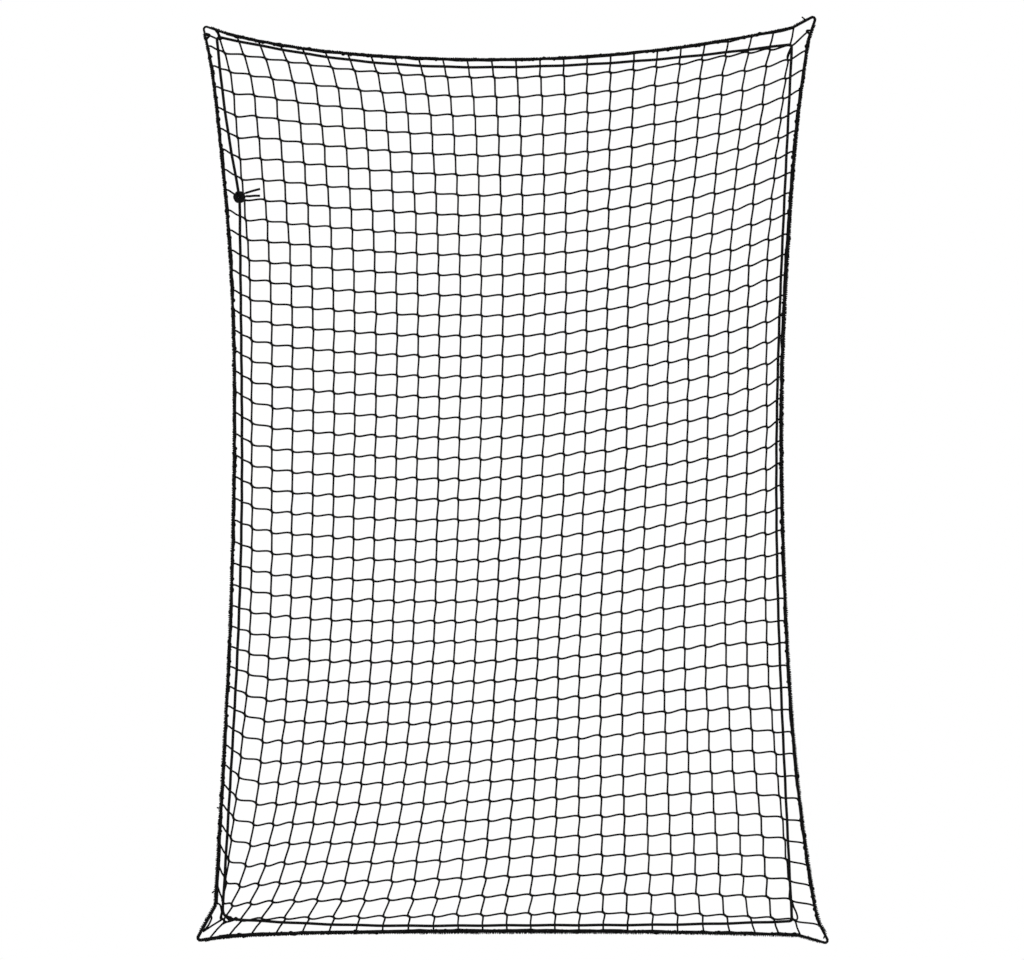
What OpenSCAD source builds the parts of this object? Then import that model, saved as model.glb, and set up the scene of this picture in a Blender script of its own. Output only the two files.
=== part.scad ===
// Rectangular knotless net panel, hung by four corner loops in its border rope.
// X runs across the net, Z up it, and Y through it. The front faces -Y.
// The origin is the centre of the flat panel, in the plane of the netting.

/* [Netting] */
// Side of one square mesh, crossing to crossing
mesh_size = 44.5; // [40:0.5:50]
// Meshes across the panel
meshes_wide = 27; // [22:1:32]
// Meshes down the panel
meshes_high = 44; // [36:1:50]
// Diameter of the netting twine
twine_d = 2.6; // [1.8:0.1:3.2]
// Gaps modelled across the panel
gaps_wide = 13; // [9:1:13]
// Gaps modelled down the panel
gaps_high = 22; // [14:1:22]

/* [Corner pull] */
// Top left loop, how far past the flat panel's side
top_left_out = 73; // [40:1:110]
// Top left loop, how far past the flat panel's top
top_left_up = 6; // [0:1:60]
// Top right loop, how far past the flat panel's side
top_right_out = 54; // [40:1:110]
// Top right loop, how far past the flat panel's top
top_right_up = 27; // [0:1:60]
// Bottom right loop, how far past the flat panel's side
bottom_right_out = 82; // [40:1:110]
// Bottom right loop, how far past the flat panel's bottom
bottom_right_down = 28; // [0:1:60]
// Bottom left loop, how far past the flat panel's side
bottom_left_out = 85; // [40:1:110]
// Bottom left loop, how far past the flat panel's bottom
bottom_left_down = 23; // [0:1:60]

/* [Edge bows] */
// Depth of the sag in the top edge
top_bow = 75; // [40:1:110]
// Depth of the rise in the bottom edge
bottom_bow = 15; // [0:1:40]
// Depth of the draw-in at the left edge
left_bow = 59; // [40:1:110]
// Depth of the draw-in at the right edge
right_bow = 74; // [40:1:110]

/* [Border rope] */
// Diameter of the border rope
rope_d = 4.6; // [3.6:0.1:6]
// Bare rope on each leg of a corner loop, tip to lashing
loop_leg = 44; // [36:1:56]
// Radius of the bend at a loop's tip, at the rope's middle
loop_bend_r = 5; // [4:0.5:8]
// Inward offset of the selvedge twine from the rope
selvedge_in = 2; // [1:0.5:3]

/* [Lashing] */
// Diameter of the lashing twine
lashing_d = 1.6; // [1:0.1:2]
// Advance of one hitch along the rope
hitch_advance = 5; // [3:0.5:8]

/* [Lacing cord] */
// Diameter of the elastic lacing cord
cord_d = 5; // [4:0.1:6]
// Radius of the cord's bend at a corner
cord_bend_r = 12; // [10:1:20]
// Depth of the cord's sag along the top
cord_top_bow = 60; // [40:1:70]
// Depth of the cord's bulge along the bottom
cord_bottom_bulge = 14; // [0:1:20]
// Depth of the cord's draw-in down the left, below its knot
cord_left_bow = 24; // [10:1:40]
// Depth of the cord's draw-in down the right
cord_right_bow = 33; // [20:1:50]

/* [Knot] */
// Diameter of the cord where the knot pulls it thin
knot_cord_d = 3.9; // [3.4:0.1:4.2]
// Knot's centre, inward from the top left loop's tip
knot_inward = 77; // [72:1:82]
// Knot's centre, down from the top left loop's tip
knot_down = 370; // [360:1:380]
// Reach of the cut cord tails past the knot's centre
tail_reach = 45; // [44:1:60]

/* [Hidden] */

// Clearance between two cords that lie against each other
touch_gap = 0.4;
black = [0.05, 0.05, 0.055];
worn_black = [0.09, 0.09, 0.10];

// A modelled gap is a whole one
columns = round(gaps_wide);
rows = round(gaps_high);

// Each edge runs left to right or top to bottom, and holds three waves of its own.
// Lean moves an edge's deepest point, and fullness flattens its middle.
// Slide and spread move crossings along the edge, and gathers bunch them at its ends.
top_lean = 1;
top_fullness = 2;
bottom_lean = 0;
bottom_fullness = 1;
left_lean = 6;
left_fullness = 3;
right_lean = -1;
right_fullness = 4;
top_shift = [3, -13];
bottom_shift = [-15, -16];
left_shift = [-7, 5];
right_shift = [26, 22];
top_gather = [0.4, 0.05];
bottom_gather = [1.8, 0.05];
left_gather = [0.2, 0.05];
right_gather = [0.2, 0.05];
// The part of the bottom rope's rise that the net above it hardly follows
bottom_lift = [19, 9, 8];
// How far an edge's bow, and a slide along it, reach into the net, against its length
bow_reach = 0.55;
lift_reach = 8;
shift_reach = 1.5;
gather_reach = 8;
// The middle of the net hangs down and is pulled towards the right
belly_right = [4, 8, -4];
belly_up = [-8, 6, -4];
// Each corner is drawn out of the even stretch as an ear, across and up
EARS = [[-3, 2], [7, 13], [19, -11], [-27, -1]];
ear_reach = 35;

half_w = meshes_wide * mesh_size / 2;
half_h = meshes_high * mesh_size / 2;
TOP_LEFT = [-half_w - top_left_out, half_h + top_left_up];
TOP_RIGHT = [half_w + top_right_out, half_h + top_right_up];
BOTTOM_RIGHT = [half_w + bottom_right_out, -half_h - bottom_right_down];
BOTTOM_LEFT = [-half_w - bottom_left_out, -half_h - bottom_left_down];

// ---- the stretched panel: a place in the net from its share across and down ----

function sinh(x) = (exp(x) - exp(-x)) / 2;
function fade(wave, reach, depth) = sinh(wave * PI * reach * (1 - depth)) / sinh(wave * PI * reach);
function waves(sizes, along, depth, reach) = len(sizes) == 0 ? 0 : [
    for (k = [1 : len(sizes)]) sizes[k - 1] * sin(180 * k * along) * fade(k, reach, depth)
] * [for (k = sizes) 1];

// Meshes passed at a share of an edge, with some bunched at each end
function passed(along, meshes, gather) =
    along * meshes
    - gather[0] * (1 - exp(-along * meshes / gather[0]))
    + gather[1] * exp(-(1 - along) * meshes / gather[1]);
function bunched(along, meshes, gather) =
    let(first = passed(0, meshes, gather), last = passed(1, meshes, gather))
    (passed(along, meshes, gather) - first) / (last - first) - along;

// One edge's pull on a place in the net: [into the net, along the edge]
function pull(bow, shift, gather, meshes, span, along, depth) = [
    waves(bow, along, depth, bow_reach),
    waves(shift, along, depth, shift_reach),
    span * bunched(along, meshes, gather) * pow(1 - depth, gather_reach)
];
function belly(sizes, u, v) =
    sizes[0] * sin(180 * u) * sin(180 * v)
    + sizes[1] * sin(180 * u) * sin(360 * v)
    + sizes[2] * sin(360 * u) * sin(180 * v);

// How much of a corner's ear reaches a place a given share away from the corner
function ear_fade(across, down) =
    exp(-pow(norm([across * 2 * half_w, down * 2 * half_h]) / ear_reach, 2));

function net_place(u, v) =
    let(
        flat = (1 - u) * (1 - v) * (TOP_LEFT - EARS[0]) + u * (1 - v) * (TOP_RIGHT - EARS[1])
            + u * v * (BOTTOM_RIGHT - EARS[2]) + (1 - u) * v * (BOTTOM_LEFT - EARS[3]),
        ears = ear_fade(u, v) * EARS[0] + ear_fade(1 - u, v) * EARS[1]
            + ear_fade(1 - u, 1 - v) * EARS[2] + ear_fade(u, 1 - v) * EARS[3],
        top = pull([top_bow, top_lean, top_fullness], top_shift, top_gather,
            meshes_wide, 2 * half_w, u, v),
        bottom = pull([bottom_bow, bottom_lean, bottom_fullness] - bottom_lift,
            bottom_shift, bottom_gather, meshes_wide, 2 * half_w, u, 1 - v),
        left = pull([left_bow, left_lean, left_fullness], left_shift, left_gather,
            meshes_high, 2 * half_h, v, u),
        right = pull([right_bow, right_lean, right_fullness], right_shift, right_gather,
            meshes_high, 2 * half_h, v, 1 - u),
        lift = waves(bottom_lift, u, 1 - v, lift_reach)
    )
    flat
    + ears
    + [left[0] - right[0], bottom[0] + lift - top[0]]
    + [top[1] + top[2] + bottom[1] + bottom[2], left[1] - left[2] + right[1] - right[2]]
    + [belly(belly_right, u, v), belly(belly_up, u, v)];

// ---- edges: 0 top, 1 right, 2 bottom, 3 left, each with its own inward direction ----

EDGE_IN = [[0, -1], [-1, 0], [0, 1], [1, 0]];
EDGE_GAPS = [columns, rows, columns, rows];
function edge_place(edge, t) =
    edge == 0 ? net_place(t, 0) : edge == 1 ? net_place(1, t)
    : edge == 2 ? net_place(t, 1) : net_place(0, t);
function unit(v) = v / norm(v);
function edge_way(edge, t) = unit(edge_place(edge, t + 0.002) - edge_place(edge, t - 0.002));
// Square to the edge and into the net
function edge_inward(edge, t) =
    let(way = edge_way(edge, t), side = [-way[1], way[0]])
    side * EDGE_IN[edge] > 0 ? side : -side;

// ---- tubes swept along a path ----

function at(p, y) = [p[0], y, p[1]];
function path_way(path, i) =
    let(last = len(path) - 1)
    i == 0 ? unit(path[1] - path[0])
    : i == last ? unit(path[last] - path[last - 1])
    : unit(unit(path[i + 1] - path[i]) + unit(path[i] - path[i - 1]));
function squared(v, way) = unit(v - (v * way) * way);
// One side direction for each ring, carried along the path without twisting
function carried(path, ways, first) = [
    for (
        i = 0, side = squared(first, ways[0]);
        i < len(path);
        i = i + 1, side = i < len(path) ? squared(side, ways[i]) : side
    ) side
];

module tube(path, d, sides = 8, first = [0, 1, 0], end_ways = []) {
    last = len(path) - 1;
    ways = [
        for (i = [0 : last])
            len(end_ways) == 2 && i == 0 ? end_ways[0]
            : len(end_ways) == 2 && i == last ? end_ways[1]
            : path_way(path, i)
    ];
    side = carried(path, ways, first);
    points = [
        for (i = [0 : last])
            for (k = [0 : sides - 1])
                path[i] + d / 2 * (cos(360 * k / sides) * side[i]
                    + sin(360 * k / sides) * cross(ways[i], side[i]))
    ];
    skin = [
        for (i = [0 : last - 1])
            for (k = [0 : sides - 1])
                let(a = i * sides + k, b = i * sides + (k + 1) % sides)
                each [[a, b + sides, b], [a, a + sides, b + sides]]
    ];
    caps = [
        for (k = [1 : sides - 2])
            each [[0, k, k + 1], [last * sides, last * sides + k + 1, last * sides + k]]
    ];
    polyhedron(points, concat(skin, caps));
}

// ---- netting: one lattice of strands of diamond section ----

// Half diagonal of a square strand with the round twine's area
strand_r = twine_d / 2 * sqrt(PI / 2);
rope_y = -(rope_d / 2 + strand_r + touch_gap);
// How far each corner crossing stays behind its loop's tip
corner_setback = [20, 30, 32, 34];

function corner_tip(k) = [TOP_LEFT, TOP_RIGHT, BOTTOM_RIGHT, BOTTOM_LEFT][k];
// A place well inside each corner, for the way that its loop points
INSIDE = [[0.06, 0.04], [0.94, 0.04], [0.94, 0.96], [0.06, 0.96]];
function corner_out(k) = unit(corner_tip(k) - net_place(INSIDE[k][0], INSIDE[k][1]));
function corner_number(i, j) =
    j == 0 && i == 0 ? 0 : j == 0 && i == columns ? 1
    : j == rows && i == columns ? 2 : j == rows && i == 0 ? 3 : -1;
function crossing(i, j) =
    let(u = i / columns, v = j / rows, k = corner_number(i, j))
    k >= 0 ? corner_tip(k) - corner_setback[k] * corner_out(k)
    : j == 0 ? net_place(u, v) + selvedge_in * edge_inward(0, u)
    : i == columns ? net_place(u, v) + selvedge_in * edge_inward(1, v)
    : j == rows ? net_place(u, v) + selvedge_in * edge_inward(2, u)
    : i == 0 ? net_place(u, v) + selvedge_in * edge_inward(3, v)
    : net_place(u, v);
CROSSINGS = [for (j = [0 : rows]) [for (i = [0 : columns]) crossing(i, j)]];
function lattice(i, j) = CROSSINGS[j][i];

// Six points of a crossing: upper right, lower right, lower left, upper left, front, back
function crossing_points(i, j) =
    let(
        p = lattice(i, j),
        across = unit(lattice(min(i + 1, columns), j) - lattice(max(i - 1, 0), j)),
        up = unit(lattice(i, max(j - 1, 0)) - lattice(i, min(j + 1, rows))),
        r = strand_r / abs(across[0] * up[1] - across[1] * up[0])
    )
    [
        at(p + r * (across + up), 0), at(p + r * (across - up), 0),
        at(p - r * (across + up), 0), at(p + r * (up - across), 0),
        at(p, -strand_r), at(p, strand_r)
    ];
function six(i, j) = 6 * (j * (columns + 1) + i);
// The four-sided faces of a strand, as pairs of triangles
function quad(a, b, c, d) = [[a, b, c], [a, c, d]];
function strand_right(a, b) = concat(
    quad(a, b + 3, b + 4, a + 4), quad(a + 4, b + 4, b + 2, a + 1),
    quad(a + 5, b + 5, b + 3, a), quad(a + 1, b + 2, b + 5, a + 5)
);
function strand_down(a, b) = concat(
    quad(a + 4, a + 1, b, b + 4), quad(a + 2, a + 4, b + 4, b + 3),
    quad(b + 5, b, a + 1, a + 5), quad(b + 3, b + 5, a + 5, a + 2)
);
// Two triangles close a crossing where no strand leaves it
function closed_side(a, p, q) = [[a + p, a + 4, a + q], [a + q, a + 5, a + p]];

module netting_lattice() {
    points = [
        for (j = [0 : rows])
            for (i = [0 : columns])
                each crossing_points(i, j)
    ];
    across = [
        for (j = [0 : rows])
            for (i = [0 : columns - 1])
                each strand_right(six(i, j), six(i + 1, j))
    ];
    down = [
        for (j = [0 : rows - 1])
            for (i = [0 : columns])
                each strand_down(six(i, j), six(i, j + 1))
    ];
    sides = [
        for (j = [0 : rows])
            each concat(closed_side(six(0, j), 3, 2), closed_side(six(columns, j), 1, 0))
    ];
    ends = [
        for (i = [0 : columns])
            each concat(closed_side(six(i, 0), 0, 3), closed_side(six(i, rows), 2, 1))
    ];
    polyhedron(points, concat(across, down, sides, ends));
}

// ---- border rope: four bound sides and four bare corner loops ----

// The share of an edge at which it has left a corner by a given distance
function left_by(edge, from, distance, low = 0, high = 0.12, rounds = 14) =
    let(mid = (low + high) / 2, t = from == 0 ? mid : 1 - mid)
    rounds == 0 ? t
    : norm(edge_place(edge, t) - edge_place(edge, from)) < distance
        ? left_by(edge, from, distance, mid, high, rounds - 1)
        : left_by(edge, from, distance, low, mid, rounds - 1);
EDGE_START = [for (edge = [0 : 3]) left_by(edge, 0, loop_leg)];
EDGE_END = [for (edge = [0 : 3]) left_by(edge, 1, loop_leg)];

function rope_shares(edge) =
    let(n = EDGE_GAPS[edge])
    concat(
        [EDGE_START[edge], (EDGE_START[edge] + 1 / n) / 2],
        [for (k = [1 : n - 1]) k / n],
        [(EDGE_END[edge] + 1 - 1 / n) / 2, EDGE_END[edge]]
    );

module rope_side(edge) {
    path = [for (t = rope_shares(edge)) at(edge_place(edge, t), rope_y)];
    tube(path, rope_d, end_ways = [
        at(edge_way(edge, EDGE_START[edge]), 0), at(edge_way(edge, EDGE_END[edge]), 0)
    ]);
}

function heading(v) = atan2(v[1], v[0]);
function turn_between(a, b) = let(d = b - a) d > 180 ? d - 360 : d < -180 ? d + 360 : d;
function on_circle(centre, r, angle) = centre + r * [cos(angle), sin(angle)];
// Where a straight leg from outside meets a circle, as an angle near the outward one
function leg_angle(centre, r, from, outward) =
    let(turn = turn_between(outward, heading(from - centre)))
    outward + sign(turn) * (abs(turn) - acos(r / norm(from - centre)));

// The loop's path from one edge's end, round the tip, to the next edge's end
function loop_path(k, from, to) =
    let(
        out = corner_out(k),
        centre = corner_tip(k) - loop_bend_r * out,
        outward = heading(out),
        a = leg_angle(centre, loop_bend_r, from, outward),
        b = leg_angle(centre, loop_bend_r, to, outward),
        steps = 8
    )
    concat(
        [from],
        [for (s = [0 : steps]) on_circle(centre, loop_bend_r, a + (b - a) * s / steps)],
        [to]
    );

module corner_loop(k, edge_a, share_a, edge_b, share_b) {
    from = edge_place(edge_a, share_a);
    to = edge_place(edge_b, share_b);
    way_a = edge_way(edge_a, share_a) * (share_a < 0.5 ? -1 : 1);
    way_b = edge_way(edge_b, share_b) * (share_b < 0.5 ? 1 : -1);
    path = [for (p = loop_path(k, from, to)) at(p, rope_y)];
    tube(path, rope_d, end_ways = [at(way_a, 0), at(way_b, 0)]);
}

// ---- lashing: a twine along the rope with a hitch round rope and selvedge ----

lashing_r = lashing_d / 2;
hitch_steps = 8;
// A hitch is an eight-sided turn, so its flats clear what it holds
hitch_flat = cos(180 / hitch_steps);

// A place round the pair of rope and selvedge, square to the edge
function round_pair(edge, t, angle) =
    let(
        rope = edge_place(edge, t),
        inward = edge_inward(edge, t),
        half_in = selvedge_in / 2,
        half_y = -rope_y / 2,
        tilt = atan2(half_in, half_y),
        long = (norm([half_in, half_y]) + rope_d / 2 + lashing_r + touch_gap) / hitch_flat,
        wide = (rope_d / 2 + lashing_r + touch_gap) / hitch_flat,
        a = -long * cos(angle),
        b = wide * sin(angle),
        in = half_in + a * sin(tilt) + b * cos(tilt),
        y = rope_y + half_y + a * cos(tilt) - b * sin(tilt)
    )
    at(rope + in * inward, y);

// Hitches sit between crossings, spread evenly from the second gap to the last but one
function hitch_count(edge) = floor((EDGE_GAPS[edge] - 2) / 2);
function hitch_share(edge, k) =
    let(n = EDGE_GAPS[edge])
    (round(1 + k * (n - 3) / (hitch_count(edge) - 1)) + 0.5) / n;
function edge_span(edge) = norm(edge_place(edge, 1) - edge_place(edge, 0));
// The twine lies along the front of the rope and comes to it halfway between hitches
function lashing_path(edge) =
    let(
        step = hitch_advance / edge_span(edge),
        stops = concat(
            [EDGE_START[edge]],
            [for (k = [0 : hitch_count(edge) - 1]) hitch_share(edge, k)],
            [EDGE_END[edge]]
        )
    )
    concat(
        [round_pair(edge, EDGE_START[edge] + 2 * step, 0)],
        [round_pair(edge, (stops[0] + stops[1]) / 2, 0)],
        [
            for (n = [1 : len(stops) - 2])
                each concat(
                    [
                        for (s = [0 : hitch_steps])
                            round_pair(edge, stops[n] + step * (s / hitch_steps - 0.5),
                                360 * s / hitch_steps)
                    ],
                    [round_pair(edge, (stops[n] + stops[n + 1]) / 2, 0)]
                )
        ],
        [round_pair(edge, EDGE_END[edge] - 2 * step, 0)]
    );
LASHINGS = [for (edge = [0 : 3]) lashing_path(edge)];

module lashing(edge) {
    tube(LASHINGS[edge], lashing_d, sides = 5, first = [0, 1, 0]);
}

// Short cut ends of the lashing twine: edge, share along it, angle outward and length
LASHING_ENDS = [
    [0, 0.985, 120, 9],
    [3, 0.030, 10, 8],
    [3, 0.855, 200, 8],
    [3, 0.948, 200, 9],
    [1, 0.975, 185, 8],
    [1, 0.990, 120, 7]
];

module lashing_end(edge, share, angle, length) {
    root = edge_place(edge, share);
    translate(at(root, rope_y - rope_d / 2 - lashing_r - touch_gap))
        rotate([0, -angle, 0])
            rotate([0, 90, 0]) {
                cylinder(d = lashing_d, h = length, $fn = 24);
                sphere(d = lashing_d, $fn = 24);
            }
}

// ---- lacing cord: woven once round through the outermost meshes ----

// Its corners, inward from the loops' tips. The knot breaks its left side in two.
cord_inset = [[26, 20], [48, 56], [75, 44], [50, 46]];
CORD_CORNERS = [
    TOP_LEFT + [cord_inset[0][0], -cord_inset[0][1]],
    TOP_RIGHT + [-cord_inset[1][0], -cord_inset[1][1]],
    BOTTOM_RIGHT + [-cord_inset[2][0], cord_inset[2][1]],
    BOTTOM_LEFT + [cord_inset[3][0], cord_inset[3][1]]
];
KNOT = TOP_LEFT + [knot_inward, -knot_down];
// Sides: 0 top, 1 right, 2 bottom, 3 left below the knot, 4 left above the knot
cord_above_knot_bow = -5;
cord_top_lean = 5;
cord_top_fullness = 2;
CORD_BOWS = [
    [cord_top_bow, cord_top_lean, cord_top_fullness],
    [cord_right_bow, 0, -1],
    [-cord_bottom_bulge, -2, -2],
    [cord_left_bow, -1, 0],
    [cord_above_knot_bow, 0, 0]
];
CORD_IN = [[0, -1], [-1, 0], [0, 1], [1, 0], [1, 0]];
CORD_ENDS = [
    [CORD_CORNERS[0], CORD_CORNERS[1]],
    [CORD_CORNERS[1], CORD_CORNERS[2]],
    [CORD_CORNERS[3], CORD_CORNERS[2]],
    [KNOT, CORD_CORNERS[3]],
    [CORD_CORNERS[0], KNOT]
];
// The cord's place at a share of one side
function cord_side(side, t) =
    let(ends = CORD_ENDS[side], bow = CORD_BOWS[side])
    (1 - t) * ends[0] + t * ends[1]
    + (bow[0] * sin(180 * t) + bow[1] * sin(360 * t) + bow[2] * sin(540 * t)) * CORD_IN[side];

// The strand that the cord crosses, and where along the cord's side it crosses it
function strand_at(side, n) =
    side == 0 ? [lattice(n, 0), lattice(n, 1)]
    : side == 1 ? [lattice(columns, n), lattice(columns - 1, n)]
    : side == 2 ? [lattice(n, rows), lattice(n, rows - 1)]
    : [lattice(0, n), lattice(1, n)];
function side_of(p, line) =
    (line[1][0] - line[0][0]) * (p[1] - line[0][1]) - (line[1][1] - line[0][1]) * (p[0] - line[0][0]);
function meet_share(side, line, low = 0, high = 1, rounds = 16) =
    let(
        mid = (low + high) / 2,
        here = side_of(cord_side(side, mid), line),
        start = side_of(cord_side(side, low), line)
    )
    rounds == 0 ? mid
    : here * start > 0 ? meet_share(side, line, mid, high, rounds - 1)
    : meet_share(side, line, low, mid, rounds - 1);

weave_y = cord_d / 2 + strand_r + touch_gap;
// The row whose strand lies behind the knot
knot_row = round(rows * 4 / 22);

// The strands in order, from below the knot, round the net, to above it
STRANDS = concat(
    [for (n = [knot_row + 1 : rows - 1]) [3, n]],
    [for (n = [1 : columns - 1]) [2, n]],
    [for (n = [rows - 1 : -1 : 1]) [1, n]],
    [for (n = [columns - 1 : -1 : 1]) [0, n]],
    [for (n = [1 : knot_row - 1]) [4, n]]
);
MEETS = [for (s = STRANDS) meet_share(s[0], strand_at(s[0], s[1]))];

// A rounded corner between two sides of the cord
function corner_bend(k, back, ahead) =
    let(
        corner = CORD_CORNERS[k],
        a = unit(back - corner),
        b = unit(ahead - corner),
        half = acos(a * b) / 2,
        centre = corner + cord_bend_r / sin(half) * unit(a + b),
        first = corner + cord_bend_r / tan(half) * a,
        last = corner + cord_bend_r / tan(half) * b,
        from = heading(first - centre),
        turn = turn_between(from, heading(last - centre)),
        steps = 4
    )
    [for (s = [0 : steps]) at(on_circle(centre, cord_bend_r, from + turn * s / steps), 0)];

function between(n) =
    let(
        here = STRANDS[n],
        next = STRANDS[n + 1],
        p = cord_side(here[0], MEETS[n]),
        q = cord_side(next[0], MEETS[n + 1])
    )
    here[0] == next[0]
        ? [at(cord_side(here[0], (MEETS[n] + MEETS[n + 1]) / 2), 0)]
        : corner_bend(here[0], p, q);

// ---- knot: both ends of the cord in one overhand knot, with the tails to the right ----

// Two winds round the ring and three round its section, side by side for the two ends
knot_pass_r = (knot_cord_d + touch_gap) * 0.8;
knot_ring_r = knot_pass_r * 2.4;
knot_depth = 1.8;
knot_outer_r = knot_ring_r + knot_pass_r + knot_cord_d / 2;
knot_y = -(strand_r + touch_gap + knot_depth * knot_pass_r + knot_cord_d / 2);
knot_rings = 36;
// Each strand starts at the top left, where the cord comes in, and stops short of its start
knot_from = 125;
knot_short = 28;
knot_turn = 720 - knot_short;

function knot_strand(phase) = [
    for (s = [0 : knot_rings - 1])
        let(
            wind = knot_from + knot_turn * s / (knot_rings - 1),
            section = 1.5 * wind + phase,
            r = knot_ring_r + knot_pass_r * cos(section)
        )
        at(KNOT, knot_y) + [r * cos(wind), knot_depth * knot_pass_r * sin(section), r * sin(wind)]
];
KNOT_UPPER = knot_strand(0);
KNOT_LOWER = knot_strand(90);

// The least gap between two tubes of diameter d, or of one to itself some points apart
function least_gap(a, b, d, apart = 0) = min([
    for (i = [0 : len(a) - 1])
        for (j = [0 : len(b) - 1])
            if (apart == 0 || abs(i - j) > apart) norm(a[i] - b[j]) - d
]);

module lacing_knot_strands() {
    tube(KNOT_UPPER, knot_cord_d, sides = 6);
    tube(KNOT_LOWER, knot_cord_d, sides = 6);
}

// The cord's two ends come to the front, up to the knot's left shoulder and its foot
CORD_PATH = concat(
    [at(KNOT + [-4, -knot_outer_r - 0.6], knot_y), at(KNOT + [-4, -knot_outer_r - 10], knot_y * 0.8)],
    [
        for (n = [0 : len(STRANDS) - 1])
            each concat(
                [at(cord_side(STRANDS[n][0], MEETS[n]), (n % 2 == 0 ? 1 : -1) * weave_y)],
                n < len(STRANDS) - 1 ? between(n) : []
            )
    ],
    [at(KNOT + [-9, knot_outer_r + 8], knot_y * 0.8), at(KNOT + [-8, knot_outer_r - 2], knot_y)]
);

// The tails' routes from the knot's centre, across, through and up. Both start at its side.
upper_tail_from = knot_outer_r - 0.8;
lower_tail_from = knot_outer_r + 0.4;
UPPER_TAIL = [[upper_tail_from, 0, 8.5], [22, 1, 11.5], [32, 2, 14.5], [tail_reach, 3, 18]];
LOWER_TAIL = [[lower_tail_from, 0, 2], [23, 1, 2], [33, 2, 3], [tail_reach, 3, 3]];
module cord_tail(route) {
    tube([for (p = route) at(KNOT, knot_y) + p], cord_d, sides = 8, first = [0, 1, 0]);
}

// ---- pieces ----

module netting() {
    color(black)
        netting_lattice();
}

module border_rope_top() {
    color(worn_black)
        rope_side(0);
}

module border_rope_right() {
    color(worn_black)
        rope_side(1);
}

module border_rope_bottom() {
    color(worn_black)
        rope_side(2);
}

module border_rope_left() {
    color(worn_black)
        rope_side(3);
}

module corner_loop_top_left() {
    color(worn_black)
        corner_loop(0, 0, EDGE_START[0], 3, EDGE_START[3]);
}

module corner_loop_top_right() {
    color(worn_black)
        corner_loop(1, 0, EDGE_END[0], 1, EDGE_START[1]);
}

module corner_loop_bottom_right() {
    color(worn_black)
        corner_loop(2, 1, EDGE_END[1], 2, EDGE_END[2]);
}

module corner_loop_bottom_left() {
    color(worn_black)
        corner_loop(3, 2, EDGE_START[2], 3, EDGE_END[3]);
}

module lashing_top() {
    color(black)
        lashing(0);
}

module lashing_right() {
    color(black)
        lashing(1);
}

module lashing_bottom() {
    color(black)
        lashing(2);
}

module lashing_left() {
    color(black)
        lashing(3);
}

module lashing_ends() {
    color(black)
        for (end = LASHING_ENDS)
            lashing_end(end[0], end[1], end[2], end[3]);
}

module lacing_cord() {
    color(black)
        tube(CORD_PATH, cord_d, sides = 8);
}

module lacing_knot() {
    color(black)
        lacing_knot_strands();
}

module cord_tail_upper() {
    color(black)
        cord_tail(UPPER_TAIL);
}

module cord_tail_lower() {
    color(black)
        cord_tail(LOWER_TAIL);
}

echo(knot_gap_between = least_gap(KNOT_UPPER, KNOT_LOWER, knot_cord_d));
echo(knot_gap_upper = least_gap(KNOT_UPPER, KNOT_UPPER, knot_cord_d, 4));
echo(knot_gap_lower = least_gap(KNOT_LOWER, KNOT_LOWER, knot_cord_d, 4));
echo(knot = KNOT, knot_y = knot_y, knot_outer_r = knot_outer_r);
for (edge = [0 : 3])
    echo(edge = edge, lashing_gap = least_gap(LASHINGS[edge], LASHINGS[edge], lashing_d, 4));
echo(cord_gap = least_gap(CORD_PATH, CORD_PATH, cord_d, 3));

netting();
border_rope_top();
border_rope_right();
border_rope_bottom();
border_rope_left();
corner_loop_top_left();
corner_loop_top_right();
corner_loop_bottom_right();
corner_loop_bottom_left();
lashing_top();
lashing_right();
lashing_bottom();
lashing_left();
lashing_ends();
lacing_cord();
lacing_knot();
cord_tail_upper();
cord_tail_lower();
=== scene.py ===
"""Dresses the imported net: the full netting, laid rope, lashing, laced cord and knot.

Lengths are in millimetres until a mesh is made, and metres in Blender. Places in the
plane of the net are (across, up). The front faces -Y.
"""
import math

import bpy
import numpy as np
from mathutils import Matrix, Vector


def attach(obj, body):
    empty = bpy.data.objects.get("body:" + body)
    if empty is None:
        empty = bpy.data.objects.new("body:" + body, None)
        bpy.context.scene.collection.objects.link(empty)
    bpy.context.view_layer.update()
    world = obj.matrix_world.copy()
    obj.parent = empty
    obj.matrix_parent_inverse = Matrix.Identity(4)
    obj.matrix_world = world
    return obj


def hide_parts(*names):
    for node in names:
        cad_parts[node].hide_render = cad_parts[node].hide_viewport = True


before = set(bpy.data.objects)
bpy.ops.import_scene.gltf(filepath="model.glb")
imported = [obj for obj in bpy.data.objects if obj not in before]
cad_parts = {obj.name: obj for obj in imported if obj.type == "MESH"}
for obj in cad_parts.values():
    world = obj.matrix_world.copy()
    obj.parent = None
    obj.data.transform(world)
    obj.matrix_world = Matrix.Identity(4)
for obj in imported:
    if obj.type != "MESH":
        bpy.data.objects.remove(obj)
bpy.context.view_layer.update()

MM = 0.001
rng = np.random.default_rng(44)

# ---- camera -------------------------------------------------------------------------

IMAGE_WIDTH = 1024
MM_PER_PIXEL = 2.18
# The pixels of the net's origin and of the image's centre
ORIGIN_PIXEL = (513, 479)
CENTRE_PIXEL = (511.5, 479.5)
SENSOR_WIDTH = 36
CAMERA_AWAY = 9.0


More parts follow.
